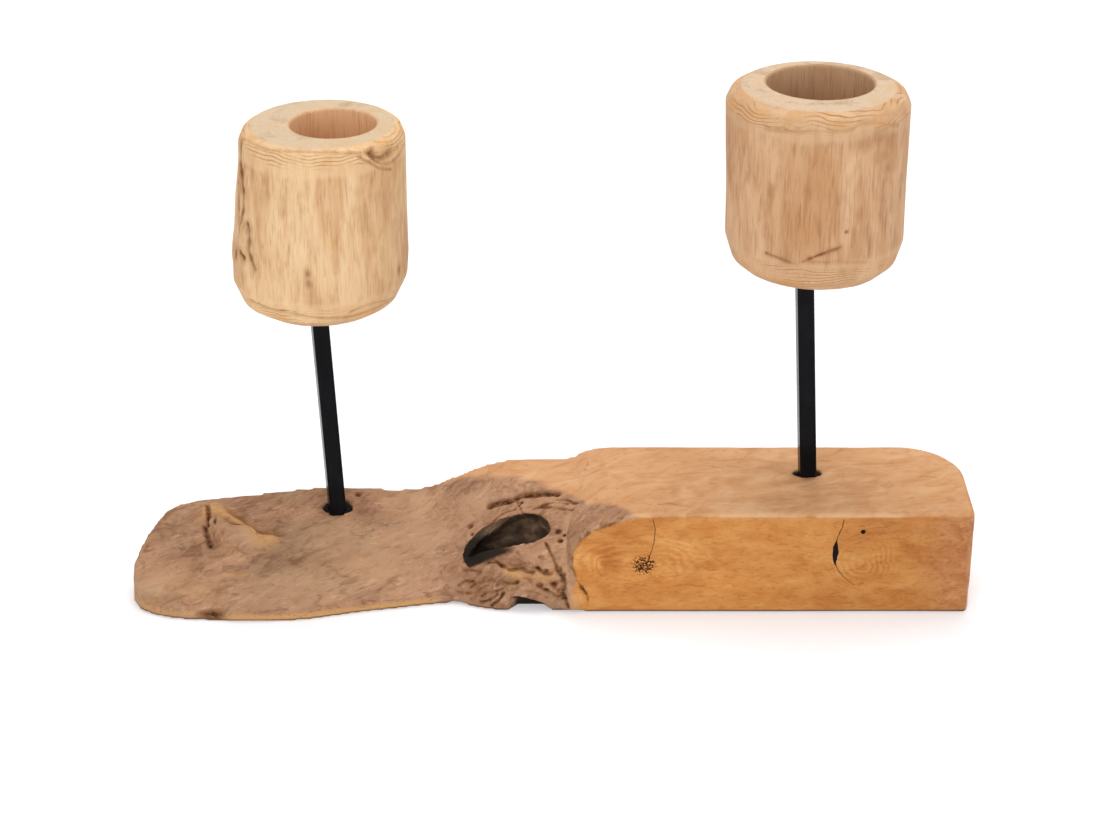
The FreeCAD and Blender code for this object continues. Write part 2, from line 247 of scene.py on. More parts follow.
class Wood:
    """A dense closed copy of a CAD piece that can be carved and stained, vertex by vertex."""

    def __init__(self, node, name, voxel_mm, smooth_rounds, fine_boxes=()):
        self.node = node
        piece = dense_copy(node, name, voxel_mm)
        for low, high in fine_boxes:
            self.refine(piece, low, high)
        smooth = piece.modifiers.new("smooth", "SMOOTH")
        smooth.iterations = smooth_rounds
        bpy.ops.object.modifier_apply(modifier=smooth.name)
        bpy.ops.object.shade_smooth()
        self.piece = piece
        self.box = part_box(node)
        self.read()

    def refine(self, piece, low, high):
        """Halve the faces between two corners in mm, where finer marks are carved."""
        mesh = piece.data
        inside = [all(low[k] < face.center[k] / MM < high[k] for k in range(3)) for face in mesh.polygons]
        bpy.context.tool_settings.mesh_select_mode = (False, False, True)
        for group in (mesh.vertices, mesh.edges):
            group.foreach_set("select", [False] * len(group))
        mesh.polygons.foreach_set("select", inside)
        bpy.ops.object.mode_set(mode="EDIT")
        bpy.ops.mesh.subdivide(number_cuts=1)
        bpy.ops.object.mode_set(mode="OBJECT")

    def read(self):
        """Read places and normals back from the mesh."""
        vertices = self.piece.data.vertices
        flat = np.empty((2, len(vertices) * 3))
        vertices.foreach_get("co", flat[0])
        vertices.foreach_get("normal", flat[1])
        self.places, self.normals = flat.reshape(2, -1, 3)
        self.near = kdtree.KDTree(len(vertices))
        for i, p in enumerate(self.places):
            self.near.insert(p, i)
        self.near.balance()
        bpy.context.view_layer.update()
        self.surface = BVHTree.FromObject(self.piece, bpy.context.evaluated_depsgraph_get())

    def along(self, side, points, width_mm, rough=0.35):
        """How close each vertex is to a scribed line, from 1 on it to 0 at width_mm."""
        weight = np.zeros(len(self.places))
        for p in trace(self.surface, side, points):
            reach = width_mm * MM * (1 + rough * noise.noise(p * 400))
            depth = 1 - rough * max(0.0, 0.75 * noise.noise(p * 150 + Vector((5, 1, 3))) + 0.45)
            for _, i, d in self.near.find_range(p, reach):
                t = 1 - d / reach
                weight[i] = max(weight[i], depth * t * t * (3 - 2 * t))
        return weight

    def spot(self, side, x, other, radius_mm, stretch=(1, 1, 1)):
        """How close each vertex is to a mark, from 1 on it to 0 at radius_mm."""
        centre = cast(self.surface, side, x, other)
        if centre is None:
            return np.zeros(len(self.places))
        away = (self.places - np.array(centre)) / np.array(stretch)
        t = np.clip(1 - np.linalg.norm(away, axis=1) / (radius_mm * MM), 0, 1)
        return t * t * (3 - 2 * t)

    def ripple(self, size_mm, stretch, seed):
        """Smooth noise at each vertex, stretched by a factor along each axis."""
        scale = 1 / (np.array(stretch) * size_mm * MM)
        shift = Vector((seed * 7.1, seed * 3.3, seed * 5.7))
        return np.array([noise.noise(Vector(p) + shift) for p in self.places * scale])

    def carve(self, height_mm):
        """Move each vertex along its normal by its height, kept inside the CAD piece's box."""
        self.places += self.normals * (height_mm * MM)[:, None]
        self.keep()

    def shift(self, x_mm, y_mm, z_mm):
        """Move each vertex by its own amounts, kept inside the CAD piece's box."""
        self.places += np.stack([x_mm, y_mm, z_mm], axis=1) * MM
        self.keep()

    def keep(self):
        """Hold the mesh inside its box, write it back and read it again."""
        low, high = self.box
        self.places = np.clip(self.places, np.array(low), np.array(high))
        self.piece.data.vertices.foreach_set("co", self.places.ravel())
        self.piece.data.update()
        self.read()

    def stain(self, **stains):
        """Store values at each vertex under names that its material reads."""
        for name, values in stains.items():
            layer = self.piece.data.attributes.new(name, "FLOAT", "POINT")
            layer.data.foreach_set("value", np.clip(values, 0, 1).astype(np.float32))


class Marks:
    """What is carved and stained on one piece: a height in mm and stains, at each vertex."""

    def __init__(self, wood, stains):
        self.wood = wood
        self.height = np.zeros(len(wood.places))
        self.stains = {name: np.zeros(len(wood.places)) for name in stains}

    def stain(self, name, values):
        """Deepen one stain to at least these values."""
        self.stains[name] = np.maximum(self.stains[name], values)

    def lines(self, side, lines, width_mm, depth_mm, stain, power=1.5, rough=0.5):
        """Cut and darken a set of scribed lines."""
        for points in lines:
            near = self.wood.along(side, points, width_mm, rough)
            self.height -= depth_mm * near
            self.stain("dark", stain * near ** power)

    def pit(self, side, place, radius_mm, depth_mm, stain, stretch=(1, 1, 1)):
        """Sink and darken one round mark."""
        near = self.wood.spot(side, *place, radius_mm, stretch)
        self.height -= depth_mm * near
        self.stain("dark", stain * near)


def soft_step(values, low, high):
    """0 below low, 1 above high, smooth between."""
    t = np.clip((values - low) / (high - low), 0, 1)
    return t * t * (3 - 2 * t)


# Where the grown skin of the slab meets the planed top, as (x, y), and the knot hollow's
# place, turn and pitch, as in the solid.
PLANED_LINE = (
    (-60, 41), (-48, 38), (-34, 31), (-20, 24), (-10, 18),
    (4, 11), (13, 5), (18, -8), (32, -19), (42, -33),
)
HOLLOW_CENTRE = (-19.6, -13.2, 27.6)
HOLLOW_TURN = math.radians(18)
HOLLOW_PITCH = math.radians(48)
HOLLOW_HALF_LENGTH = 22.0
HOLLOW_HALF_WIDTH = 13.5

# Marks on the root: what was scribed, gnawed, rotted or torn there.
FOLD_OVER_HOLLOW = ((-30, 10), (-24, 9), (-19, 8), (-15, 9), (-8, 9), (-2, 9), (4, 8))
FOLD_UNDER = ((-5, 1), (1, 0), (6, -2), (12, -4))
FOLD_RIGHT = ((3, 4), (9, 3), (14, -2))
TORN_FIBRES = (
    ((-16, 40), (-14, 38), (-12, 36)), ((-8, 39), (0, 41), (9, 41)), ((-30, 30), (-24, 35), (-17, 38)),
)
SAW_EDGE = (
    (34, 50), (28, 47), (23, 45), (19, 43), (16, 40), (13, 36), (11, 31),
    (10, 26), (11, 22), (13, 17), (16, 12), (18, 8), (18, 2),
)
LIP_LINE = ((-30, 19), (-26, 20), (-23, 19), (-19, 18), (-14, 19), (-11, 18), (-8, 18))
OCHRE_BAND = ((-21, 18), (-16, 16), (-11, 16), (-5, 17), (0, 18))
CURVED_CRACK = ((-2, 29), (0, 26), (2, 23), (4, 19), (7, 16), (7, 12))
WRINKLES = (
    ((-44, 9), (-40, 11), (-36, 11)), ((-38, 9), (-34, 11), (-30, 12), (-26, 14)),
    ((-36, 7), (-33, 9), (-29, 11)), ((-33, 6), (-30, 8), (-26, 9), (-22, 11)),
    ((-33, 3), (-29, 5), (-25, 8)), ((-28, 2), (-25, 5), (-22, 9)),
    ((-40, 6), (-37, 7)), ((-42, 14), (-38, 15), (-33, 15)), ((-24, 14), (-19, 13), (-15, 14)),
)
PITS = (
    (-6, 20), (-2, 19), (4, 33), (7, 32), (5, 30), (-39, 27), (-38, 25),
    (-2, 11), (2, 14), (5, 8), (7, 7), (-5, 13), (-14, 40),
)
TORN_CREASES = (
    ((-6, 20), (-3, 18), (1, 18)), ((-4, 12), (0, 10), (4, 7)), ((1, 14), (4, 11), (7, 8)),
    ((5, 20), (6, 15)),
)
TOE = ((8, 17), (11, 12), (12, 7), (12, 2))
TOE_CREASE = ((7, 18), (6, 13), (7, 8), (9, 2))
PALE_STREAK = ((14, 44), (10, 38), (8, 32), (7, 26))
SKIN_CRACKS_TOP = (
    ((-75, 33), (-66, 33), (-58, 32)), ((-52, 30), (-44, 31), (-36, 27)), ((-92, 2), (-82, 5), (-72, 2)),
    ((-60, 5), (-50, 12), (-42, 20)), ((-118, -16), (-108, -8)), ((-48, -4), (-38, 6), (-30, 12)),
    ((-100, -22), (-88, -8)), ((-84, -18), (-76, -4)), ((-34, 16), (-28, 14)), ((-36, 9), (-28, 9)),
)
STUMP_CREST = ((-166, 24), (-160, 21), (-154, 16), (-148, 10), (-142, 5), (-135, 3))
STUMP_GROOVE = ((-157, 23), (-152, 20), (-148, 15), (-144, 11), (-139, 9), (-133, 8))
STUMP_FLUTES = (
    ((-169, 27), (-168, 22), (-167, 16)), ((-169, 15), (-167, 8), (-165, 2)),
    ((-165, 17), (-163, 9), (-163, 3)),
)
STUMP_ARCS = (
    ((-172, -15), (-171, -9), (-170, -2), (-171, 6)), ((-181, -26), (-176, -23), (-172, -18), (-170, -12)),
)
STUMP_BASE = ((-164, -5), (-158, -4), (-152, -4), (-147, -5), (-143, -4))
STUMP_KNOTS = ((-157, 12), (-156, 9))
STUMP_CHEEK = (-149, 3)
GOLD_STREAK = ((-157, -16), (-152, -17), (-146, -17))
LOBE = (-36, 12)
DEEP_PATCHES = (
    (-184, 14, 20), (-174, -2, 16), (-150, 30, 22), (-112, 34, 16), (-136, 14, 14),
    (-130, -8, 16), (-42, 30, 16), (-38, -12, 22), (-94, 26, 12),
)
PALE_PATCHES = (
    (-62, 8, 26), (-82, -8, 26), (-106, 4, 22), (-190, -22, 16),
    (-66, 30, 14), (-120, -26, 20), (-36, 14, 16),
)
RIM_NOTCH = (-160, 3)
RIM_CHIPS = ((-188, 5), (-172, 4), (-126, 3), (-82, 5))
BUG_PIT = (-95, 35)
PIN_KNOT = (44.5, 25.5)
RING_KNOT = (147.5, 28)
WORM_HOLE = (147.5, 43)
ARRIS_Z = 51.4

# Scribed lines: side, lines, width and depth in mm, stain, power of its fall-off, roughness.
ROOT_LINES = (
    # The fold over the hollow is stained full dark as painted shade under its overhanging lip.
    ("top", (FOLD_OVER_HOLLOW,), 3.3, 2.6, 1.0, 1.0, 0.35),
    ("top", (FOLD_UNDER, FOLD_RIGHT), 2.0, 1.1, 0.9, 1.1, 0.6),
    ("front", TORN_FIBRES, 1.7, 1.0, 0.95, 1.1, 0.7),
    ("front", (LIP_LINE,), 2.0, 1.3, 1.0, 1.0, 0.6),
    ("front", (CURVED_CRACK,), 1.8, 1.2, 1.0, 1.0, 0.5),
    ("front", TORN_CREASES, 1.8, 1.3, 1.0, 1.0, 0.7),
    ("front", WRINKLES, 1.7, 1.0, 0.95, 1.0, 0.6),
    ("front", (TOE_CREASE,), 1.8, 1.3, 0.9, 1.1, 0.4),
    ("top", SKIN_CRACKS_TOP, 1.6, 0.55, 0.35, 2.0, 0.7),
    ("top", STUMP_FLUTES, 2.6, 2.0, 1.0, 1.1),
    ("top", STUMP_ARCS, 4.0, 1.2, 0.35, 1.3),
    ("top", (STUMP_BASE,), 2.6, 1.0, 0.5),
)

# The arch rotted out under the knot, how far it is pulled shallow and lopsided, and how far
# the lower left edge of the hollow above it is lifted.
ARCH_X = -9.2
ARCH_HALF = 12.0
ARCH_FRONT_Y = -29.0
ARCH_DEPTH = 22.0
ARCH_TOP = 11.5
ARCH_LEAN = 5.0
ARCH_SHALLOW = 0.6
ARCH_SINK = 0.16
HOLLOW_LIFT = 6.0


def settle_arch(root):
    """Pull the arch under the knot shallow and lopsided, and raise the tongue's back and tip."""
    x, y, z = (root.places / MM).T
    beside = 1 - soft_step(np.abs(x - ARCH_X), ARCH_HALF, ARCH_HALF + 5)
    low = 1 - soft_step(z, ARCH_TOP, ARCH_TOP + 5)
    depth = y - ARCH_FRONT_Y
    behind = ARCH_DEPTH * (1 - (depth - ARCH_DEPTH) / 30)
    pull = np.clip(ARCH_SHALLOW * np.where(depth < ARCH_DEPTH, depth, behind), 0, None) * beside * low
    inner = beside * (1 - soft_step(z, ARCH_TOP, ARCH_TOP + 9)) * (1 - soft_step(y, -14, -2))
    lean = ARCH_LEAN * (np.clip(z, 0, ARCH_TOP) / ARCH_TOP) ** 2 * inner
    sink = ARCH_SINK * np.clip(z, 0, ARCH_TOP) * inner
    back_rise = 1.3 * soft_step(y, 16, 34) * np.exp(-((x + 145) / 32) ** 2) * soft_step(z, 2, 8)
    tip = 1.5 * soft_step(y, -6, 14) * soft_step(-x, 182, 197)
    root.shift(tip - lean, -pull, back_rise - sink)


def in_hollow(root):
    """Where each vertex lies in the knot hollow: along it, across it and up out of it, in mm."""
    across = (root.places / MM - np.array(HOLLOW_CENTRE)).T
    c, s = math.cos(-HOLLOW_PITCH), math.sin(-HOLLOW_PITCH)
    u, v, w = across[0], c * across[1] - s * across[2], s * across[1] + c * across[2]
    c, s = math.cos(-HOLLOW_TURN), math.sin(-HOLLOW_TURN)
    return c * u - s * v, s * u + c * v, w


def sharpen_hollow(root):
    """Lift the lower left edge of the knot hollow, which leaves it pointed there, like a leaf."""
    u, v, w = in_hollow(root)
    along = soft_step(-u, -14, -2) * (1 - soft_step(-u, 29, 38))
    lip = soft_step(-np.abs(v + 10), -13, -3) * (1 - soft_step(w, 12, 20)) * soft_step(w, -26, -16)
    drop = HOLLOW_LIFT * along * lip
    c, s = math.cos(HOLLOW_TURN), math.sin(HOLLOW_TURN)
    du, dv = -s * drop, c * drop
    c, s = math.cos(HOLLOW_PITCH), math.sin(HOLLOW_PITCH)
    root.shift(du, c * dv, s * dv)


def cut_faces(root):
    """How much each vertex lies on each cut face of the slab, from 0 to 1."""
    x, y, z = (root.places / MM).T
    nx, ny, nz = root.normals.T
    line = np.interp(x, [p[0] for p in PLANED_LINE], [p[1] for p in PLANED_LINE])
    line = line + 2.2 * root.ripple(9, (1, 1, 1), 31)
    upward = soft_step(nz, 0.3, 0.6)
    front = soft_step(-ny, 0.85, 0.95) * soft_step(-y, 30.6, 31.4) * (y > -32.8)
    return {
        "planed": np.maximum(soft_step(y - line, -2.5, 2.5), soft_step(x, 40, 44)) * upward,
        "sawn": front * soft_step(x, 9, 11),
        "end": np.maximum(soft_step(nx, 0.4, 0.8) * (x > 150), 0.75 * soft_step(x, 166, 196) * front),
        "back": soft_step(ny, 0.8, 0.95) * soft_step(y, 38.6, 39.4),
        "under": soft_step(-nz, 0.8, 0.95) * (z < 1),
    }


def undulate(marks, cut, grown, knotty):
    """Raise the skin's waves and its knobs about the knot, and the faint waves of the cut faces."""
    root = marks.wood
    low = root.ripple(26, (2.2, 1, 1), 1) + 0.5 * root.ripple(11, (2.6, 1, 1), 2)
    fine = root.ripple(4.5, (3, 1, 1), 3) + 0.6 * root.ripple(2.4, (3, 1, 1), 4)
    knobs = 1.3 * root.ripple(5.5, (1.8, 1, 1), 5) + 0.5 * root.ripple(2.6, (1, 1, 1), 15)
    marks.height += grown * (1.5 * low + 0.30 * fine + knotty * knobs)
    marks.height += cut["planed"] * (0.30 * root.ripple(30, (2, 1, 1), 6) + 0.10 * fine)
    marks.height += 0.35 * cut["end"] * root.ripple(16, (1, 2, 0.8), 7)
    marks.height += 0.12 * cut["sawn"] * root.ripple(24, (2, 1, 1), 8)


def carve_lip(marks, above_table):
    """The torn lip beside the sawn face: its edge, light band, pale toe and pits."""
    root = marks.wood
    marks.height -= 1.2 * root.along("front", SAW_EDGE, 2.0) * above_table
    marks.stain("dark", 0.95 * root.along("front", SAW_EDGE, 1.5, 0.9) ** 1.2)
    band = root.along("front", OCHRE_BAND, 4.2, 0.8)
    marks.height += 0.8 * band
    marks.stain("ochre", 0.8 * band)
    toe = root.along("front", TOE, 7.5, 0.15)
    marks.height += 2.3 * toe * above_table
    marks.stain("pale", 0.8 * toe)
    marks.stain("pale", 0.8 * root.along("front", PALE_STREAK, 4.0))
    for k, place in enumerate(PITS):
        marks.pit("front", place, 1.5 + 0.5 * (k % 3), 1.3, 1.0, (1.3, 1, 1 - 0.2 * (k % 2)))


def carve_stump(marks):
    """The side root's stump: a raised golden crest, its gold partly the wood's own and partly painted
    highlight, painted shade in the groove behind it, knots and a pale cheek.
    """
    root = marks.wood
    marks.height += 4.6 * root.along("top", STUMP_CREST, 9.0, 0.1)
    # Gold on the crest: partly wood colour, partly painted highlight.
    marks.stain("ochre", 0.95 * root.along("top", STUMP_CREST, 8.0, 0.4))
    marks.stain("ochre", root.along("top", GOLD_STREAK, 1.6, 0.6))
    groove = root.along("top", STUMP_GROOVE, 5.5, 0.3)
    marks.height -= 3.0 * groove
    # Painted shade in the groove behind the crest.
    marks.stain("dark", 0.6 * groove ** 1.2)
    marks.stain("pale", root.spot("top", *STUMP_CHEEK, 9.0, (1.5, 1, 1)))
    for place in STUMP_KNOTS:
        marks.pit("top", place, 1.8, 0.0, 0.7)


def stain_hollow_rot_and_shade(marks):
    """Rot in the knot hollow and the arch, grey brown, with painted shade: black on one side of the
    hollow, and in the arch the rot colour and a black that deepens towards its back.
    """
    root = marks.wood
    x, y, z = (root.places / MM).T
    nz = root.normals[:, 2]
    u, v, w = in_hollow(root)
    inside = (u / HOLLOW_HALF_LENGTH) ** 2 + (v / HOLLOW_HALF_WIDTH) ** 2 < 1.1
    inside = inside * (1 - soft_step(-v, 3.5, 5.5) * soft_step(-u, -8, 2))
    hollow = inside * soft_step(-w, 1.0, 4.5)
    # Painted shade: one side of the hollow is made black.
    shaded_side = inside * soft_step(-w, -2.5, 0.5) * soft_step(-u - 1.1 * v, -4, 7)
    marks.height += hollow * (0.8 * root.ripple(8, (2, 1, 1), 9) + 0.25 * root.ripple(3, (2, 1, 1), 19))
    # The arch is given the rot colour, and black towards its back, as painted shade.
    arch = (np.abs(x + 11) < 15) * (z > 0.2) * (z < 12.5) * (y < -10) * (nz < 0.6)
    arch = arch * soft_step(y, -30.5, -28.5)
    arch = arch * np.maximum(soft_step(y, -27.5, -25.5), soft_step(-nz, 0.1, 0.5))
    marks.stain("hollow", np.maximum(hollow, arch))
    marks.stain("black", np.maximum(0.9 * arch * soft_step(y, -29, -26), 0.95 * shaded_side))


def weather(marks, grown, knotty):
    """Deeper and paler patches of skin, the light lower rim, frayed wood, and where a highlight is painted
    along the top arris.
    """
    root = marks.wood
    x, y, z = (root.places / MM).T
    for name, share, patches in (("deep", 0.7, DEEP_PATCHES), ("pale", 0.6, PALE_PATCHES)):
        for patch in patches:
            marks.stain(name, share * root.spot("top", *patch, (1.3, 1, 1)))
    marks.stain("deep", knotty * grown * soft_step(-x, 16, 28))
    rim = soft_step(-z, -4.2, -2.4) * soft_step(x, -158, -150) * soft_step(-x, 50, 60)
    marks.stain("ochre", grown * rim * (root.normals[:, 1] < 0.3))
    marks.stain("ochre", 0.5 * grown * soft_step(-z, -5, -2.5) * soft_step(-x, 160, 175))
    marks.stain("dark", 0.5 * grown * knotty * soft_step(root.ripple(3.2, (1.6, 1, 1), 16), 0.15, 0.5))
    # Where a highlight is painted: a light line along the block's top front arris.
    along_top = soft_step(x, 30, 50) * (1 - soft_step(x, 166, 176))
    marks.stain("arris", soft_step(-np.abs(z - ARRIS_Z), -1.0, -0.3) * (y < -29) * along_top)


def shape_root(root):
    """Carve and stain the slab: skin, folds, knot hollow, stump, torn lip, worn edges, painted shade and a
    painted highlight.
    """
    x, y, z = (root.places / MM).T
    marks = Marks(root, ("dark", "ochre", "pale", "deep", "hollow", "black", "arris"))
    cut = cut_faces(root)
    grown = 1 - np.maximum.reduce(list(cut.values()))
    above_table = soft_step(z, 0.3, 2.5)
    knotty = np.exp(-((x + 10) / 30) ** 2 - ((z - 20) / 22) ** 2) * soft_step(-y, -16, -6)
    undulate(marks, cut, grown, knotty)
    for line_set in ROOT_LINES:
        marks.lines(*line_set)
    carve_lip(marks, above_table)
    carve_stump(marks)
    stain_hollow_rot_and_shade(marks)
    weather(marks, grown, knotty)
    # The rim notch is darkened as painted shade of the gap under the rim.
    marks.pit("front", RIM_NOTCH, 6.0, 2.4, 0.9, (1.8, 1, 1))
    marks.pit("top", BUG_PIT, 4.0, 1.6, 0.8)
    marks.pit("front", WORM_HOLE, 2.2, 2.4, 0.0)
    for place in RIM_CHIPS:
        marks.pit("front", place, 4.5, 0.9, 0.0, (2.2, 1, 1))
    root.carve(marks.height * (0.15 + 0.85 * above_table) * (1 - 0.5 * cut["back"] - 0.9 * cut["under"]))
    marks.stain("deep", root.spot("front", *LOBE, 17.0, (1.6, 1, 1)))
    cut["end"] = np.maximum(cut["end"], 0.6 * cut.pop("back"))
    root.stain(**cut, **marks.stains)


def skin_colour(place, flow, mottle, thin):
    """Weathered brown skin: flecks, scratches, warmer clouds, and deeper and paler patches."""
    patch = grain(place, 34, (1.4, 1, 1), 3, 0.5)
    skin = ramp(flow, ((0.28, "#9a7356"), (0.44, "#ae8466"), (0.58, "#bb9172"), (0.75, "#caa27e")))
    skin = tint(times(between(patch, 0.5, 0.66), 0.25), skin, "#a08e6e")
    skin = mix(0.38, skin, thin, "MULTIPLY")
    fleck = between(grain(place, 2.0, (3.5, 1, 1), 4, 0.6, turn=20), 0.60, 0.66)
    skin = tint(times(fleck, 0.4), skin, "#dcb58e")
    scratch = between(grain(place, 1.6, (4.5, 1, 1), 3, 1.2, turn=36), 0.66, 0.72)
    skin = tint(times(scratch, 0.45), skin, "#77543c")
    blotch = ramp(mottle, ((0.32, "#b08c70"), (0.5, WHITE), (0.8, "#fff2de")))
    skin = mix(0.6, skin, blotch, "MULTIPLY")
    warm = between(grain(place, 22, (1.8, 1, 1), 3, 0.8), 0.52, 0.68)
    skin = tint(times(warm, 0.3), skin, "#bd8c60")
    uneven = scaled(between(mottle, 0.38, 0.62), -0.55, 0.85)
    skin = tint(times(mark(place, "deep"), uneven), skin, "#7a5640")
    return tint(times(mark(place, "pale"), 0.75), skin, "#c9a27f")


def planed_colour(place, flow, mottle):
    """The planed top: light, with long fine streaks, cloudy patches and a few dark flaws."""
    planed = ramp(flow, ((0.28, "#cb9566"), (0.45, "#d39f71"), (0.6, "#d9a97d"), (0.78, "#dfb48a")))
    blotch = ramp(mottle, ((0.32, "#d8b090"), (0.5, WHITE), (0.8, "#fff6e8")))
    planed = mix(0.3, planed, blotch, "MULTIPLY")
    streak = grain(place, 2.2, (9, 1, 1), 5, 0.8, turn=6)
    streak = ramp(streak, ((0.30, "#b98a64"), (0.46, WHITE), (0.8, "#fff8ec")))
    planed = mix(0.22, planed, streak, "MULTIPLY")
    cloudy = between(grain(place, 20, (1.6, 1, 1), 4, 1.2), 0.52, 0.72)
    planed = tint(times(cloudy, 0.6), planed, "#bf885b")
    flaw = between(grain(place, 3.2, (5, 1, 1), 4, 1.0, turn=-12), 0.66, 0.71)
    return tint(times(flaw, 0.6), planed, "#96643c")


def sawn_colour(place, hair):
    """The sawn front: orange brown with growth rings, clouded, with fine hair lines."""
    rings = ring_figure(place)
    sawn = ramp(rings, ((0.20, "#c27b3c"), (0.42, "#cf8c4a"), (0.60, "#d99a57"), (0.85, "#e3ab6b")))
    cloud = grain(place, 19, (1.8, 1, 0.8), 4, 1.0)
    cloud = ramp(cloud, ((0.3, "#c07c4a"), (0.5, WHITE), (0.75, "#fff0d0")))
    sawn = mix(0.38, sawn, cloud, "MULTIPLY")
    return mix(0.38, sawn, hair, "MULTIPLY")


def end_colour(place, hair):
    """The block's right end and the back: redder, with curled figure."""
    curl = grain(place, 8.0, (1, 1.6, 0.7), 5, 1.0)
    curl = ramp(curl, ((0.3, "#b9774a"), (0.5, "#cb8c5c"), (0.72, "#dcaa7c")))
    return mix(0.5, curl, hair, "MULTIPLY")


def rot_and_shade_colour(place):
    """Grey brown to nearly black: rotted wood in the knot hollow, and painted shade where it fills the
    arch.
    """
    rot = grain(place, 5, (2.4, 1, 1), 5, 0.2, turn=30)
    return ramp(rot, ((0.3, "#35281f"), (0.5, "#544132"), (0.72, "#846a52")))


def root_wood():
    """Teak root, grown skin weathered and brushed, cut faces sanded and oiled: matt, silky."""
    material, shader, place = new_material("weathered_teak_root")
    fibre = grain(place, 1.1, (5, 1, 1), 6, 0.7, turn=32)
    mottle = grain(place, 4.5, (1.8, 1, 1), 6, 0.9, turn=30)
    flow = grain(place, 15, (2.2, 1, 1), 5, 1.2, turn=24)
    speck = grain(place, 1.1, (2.0, 1, 1), 4)
    thin = ramp(fibre, ((0.30, "#9a7458"), (0.47, WHITE), (0.62, WHITE), (0.78, "#fff4e6")))
    hair = grain(place, 1.1, (4, 1, 1.4), 4, 0.8)
    hair = ramp(hair, ((0.3, "#b98a5c"), (0.5, WHITE), (0.8, "#fff6e4")))

    colour = skin_colour(place, flow, mottle, thin)
    colour = mix(mark(place, "planed"), colour, planed_colour(place, flow, mottle))
    colour = mix(mark(place, "sawn"), colour, sawn_colour(place, hair))
    colour = mix(mark(place, "end"), colour, end_colour(place, hair))
    colour = tint(mark(place, "under"), colour, "#a8794c")
    golden = mix(0.45, linear("#d2a068"), thin, "MULTIPLY")
    colour = mix(mark(place, "ochre"), colour, golden)
    x, _, z = parts(place)
    right = between(x, 80 * MM, 180 * MM)
    colour = mix(times(right, mark(place, "sawn")), colour, linear("#eeebea"), "MULTIPLY")
    # Painted contact shadow: a dark brown line along the lowest 1.4 mm of the slab, where it meets the
    # floor.
    painted_contact_shadow = maths("SUBTRACT", 1.0, between(z, 0.4 * MM, 1.4 * MM))
    colour = tint(times(painted_contact_shadow, 0.75), colour, "#4a2f1e")
    pins, threads = front_marks(place)
    colour = tint(pins, colour, "#4a2410")
    halo = times(between(mark(place, "dark"), 0.05, 0.6), 0.5)
    colour = tint(halo, colour, "#9c6637")
    broken = times(between(mark(place, "dark"), 0.15, 0.9), scaled(speck, 2.2, -0.25))
    colour = tint(broken, colour, "#3f1f0c")
    # Rot colour in the hollow and painted shade in the arch; the black over both is painted shade.
    colour = mix(mark(place, "hollow"), colour, rot_and_shade_colour(place))
    colour = tint(mark(place, "black"), colour, "#17100b")
    # Painted highlight along the top front arris, broken by the flow noise.
    arris_highlight = times(mark(place, "arris"), between(flow, 0.42, 0.56))
    colour = tint(times(arris_highlight, 0.6), colour, "#e6bb8e")
    colour = tint(threads, colour, "#0f0906")

    relief = maths("ADD", fibre, times(speck, 0.5))
    relief = maths("ADD", relief, times(mottle, 0.8))
    cut = maths("MAXIMUM", mark(place, "planed"), mark(place, "sawn"))
    relief = times(relief, scaled(cut, -0.75, 1.0))
    dress(shader, colour, 0.66, 0.12, bump(relief, 0.5, 0.45))
    return material


# Growth rings on the sawn front, about two knots, with their stretch along x and z.
RING_CENTRES = ((PIN_KNOT, (2.4, 1.0)), (RING_KNOT, (1.0, 1.0)))
RING_STEP_MM = 2.5


def ring_figure(place):
    """Growth figure on the sawn face: long rings round the pin knot, small ones round the other."""
    wobble = grain(place, 16, (1.6, 1, 1), 4, 0.8)
    x, _, z = parts(place)
    figure = None
    for centre, (wide, tall) in RING_CENTRES:
        dx = times(maths("SUBTRACT", x, centre[0] * MM), 1 / wide)
        dz = times(maths("SUBTRACT", z, centre[1] * MM), 1 / tall)
        away = length(dx, dz)
        figure = away if figure is None else maths("SMOOTH_MIN", figure, away, 0.006)
    wave = ring_wave(scaled(wobble, 0.012, figure), RING_STEP_MM)
    faint = grain(place, 9, (2, 1, 1), 4, 0.6)
    fading = between(grain(place, 14, (1.5, 1, 1), 3), 0.35, 0.65)
    close = scaled(between(figure, 9 * MM, 19 * MM), -0.85, 1.0)
    wave = times(wave, times(fading, close))
    return scaled(wave, 0.13, faint)


def ring_wave(away, step_mm):
    """A wave from -1 to 1, once every step_mm of a distance."""
    return maths("SINE", times(away, 2 * math.pi / (step_mm * MM)))


# Fine cracks on the sawn front: low, middle and high point as (x, z), and half a width.
FRONT_THREADS = (
    ((46, 28), (49, 38), (48.5, 50.5), 0.22),
    ((134.6, 38), (136.3, 43), (138.2, 50), 0.28),
    ((144.5, 15), (138.6, 20), (134.9, 27), 0.24),
)
SLIT_CENTRE = (134.8, 32.4)
SLIT_HALF_WIDTH = 1.35
SLIT_HALF_HEIGHT = 7.0
WORM_HOLE_RADIUS = 1.15


def front_thread(x, z, low, middle, high, half):
    """1 on one fine crack, a parabola through three points, and 0 beside it."""
    t0, t1 = middle[1] - low[1], high[1] - low[1]
    second = ((high[0] - low[0]) / t1 - (middle[0] - low[0]) / t0) / (t1 - t0)
    first = (middle[0] - low[0]) / t0 - second * t0
    t = maths("SUBTRACT", z, low[1])
    curve = scaled(scaled(t, second, first), t, low[0])
    near = maths("LESS_THAN", maths("ABSOLUTE", maths("SUBTRACT", x, curve)), half)
    between_ends = times(maths("GREATER_THAN", t, 0.0), maths("LESS_THAN", t, t1))
    return times(near, between_ends)


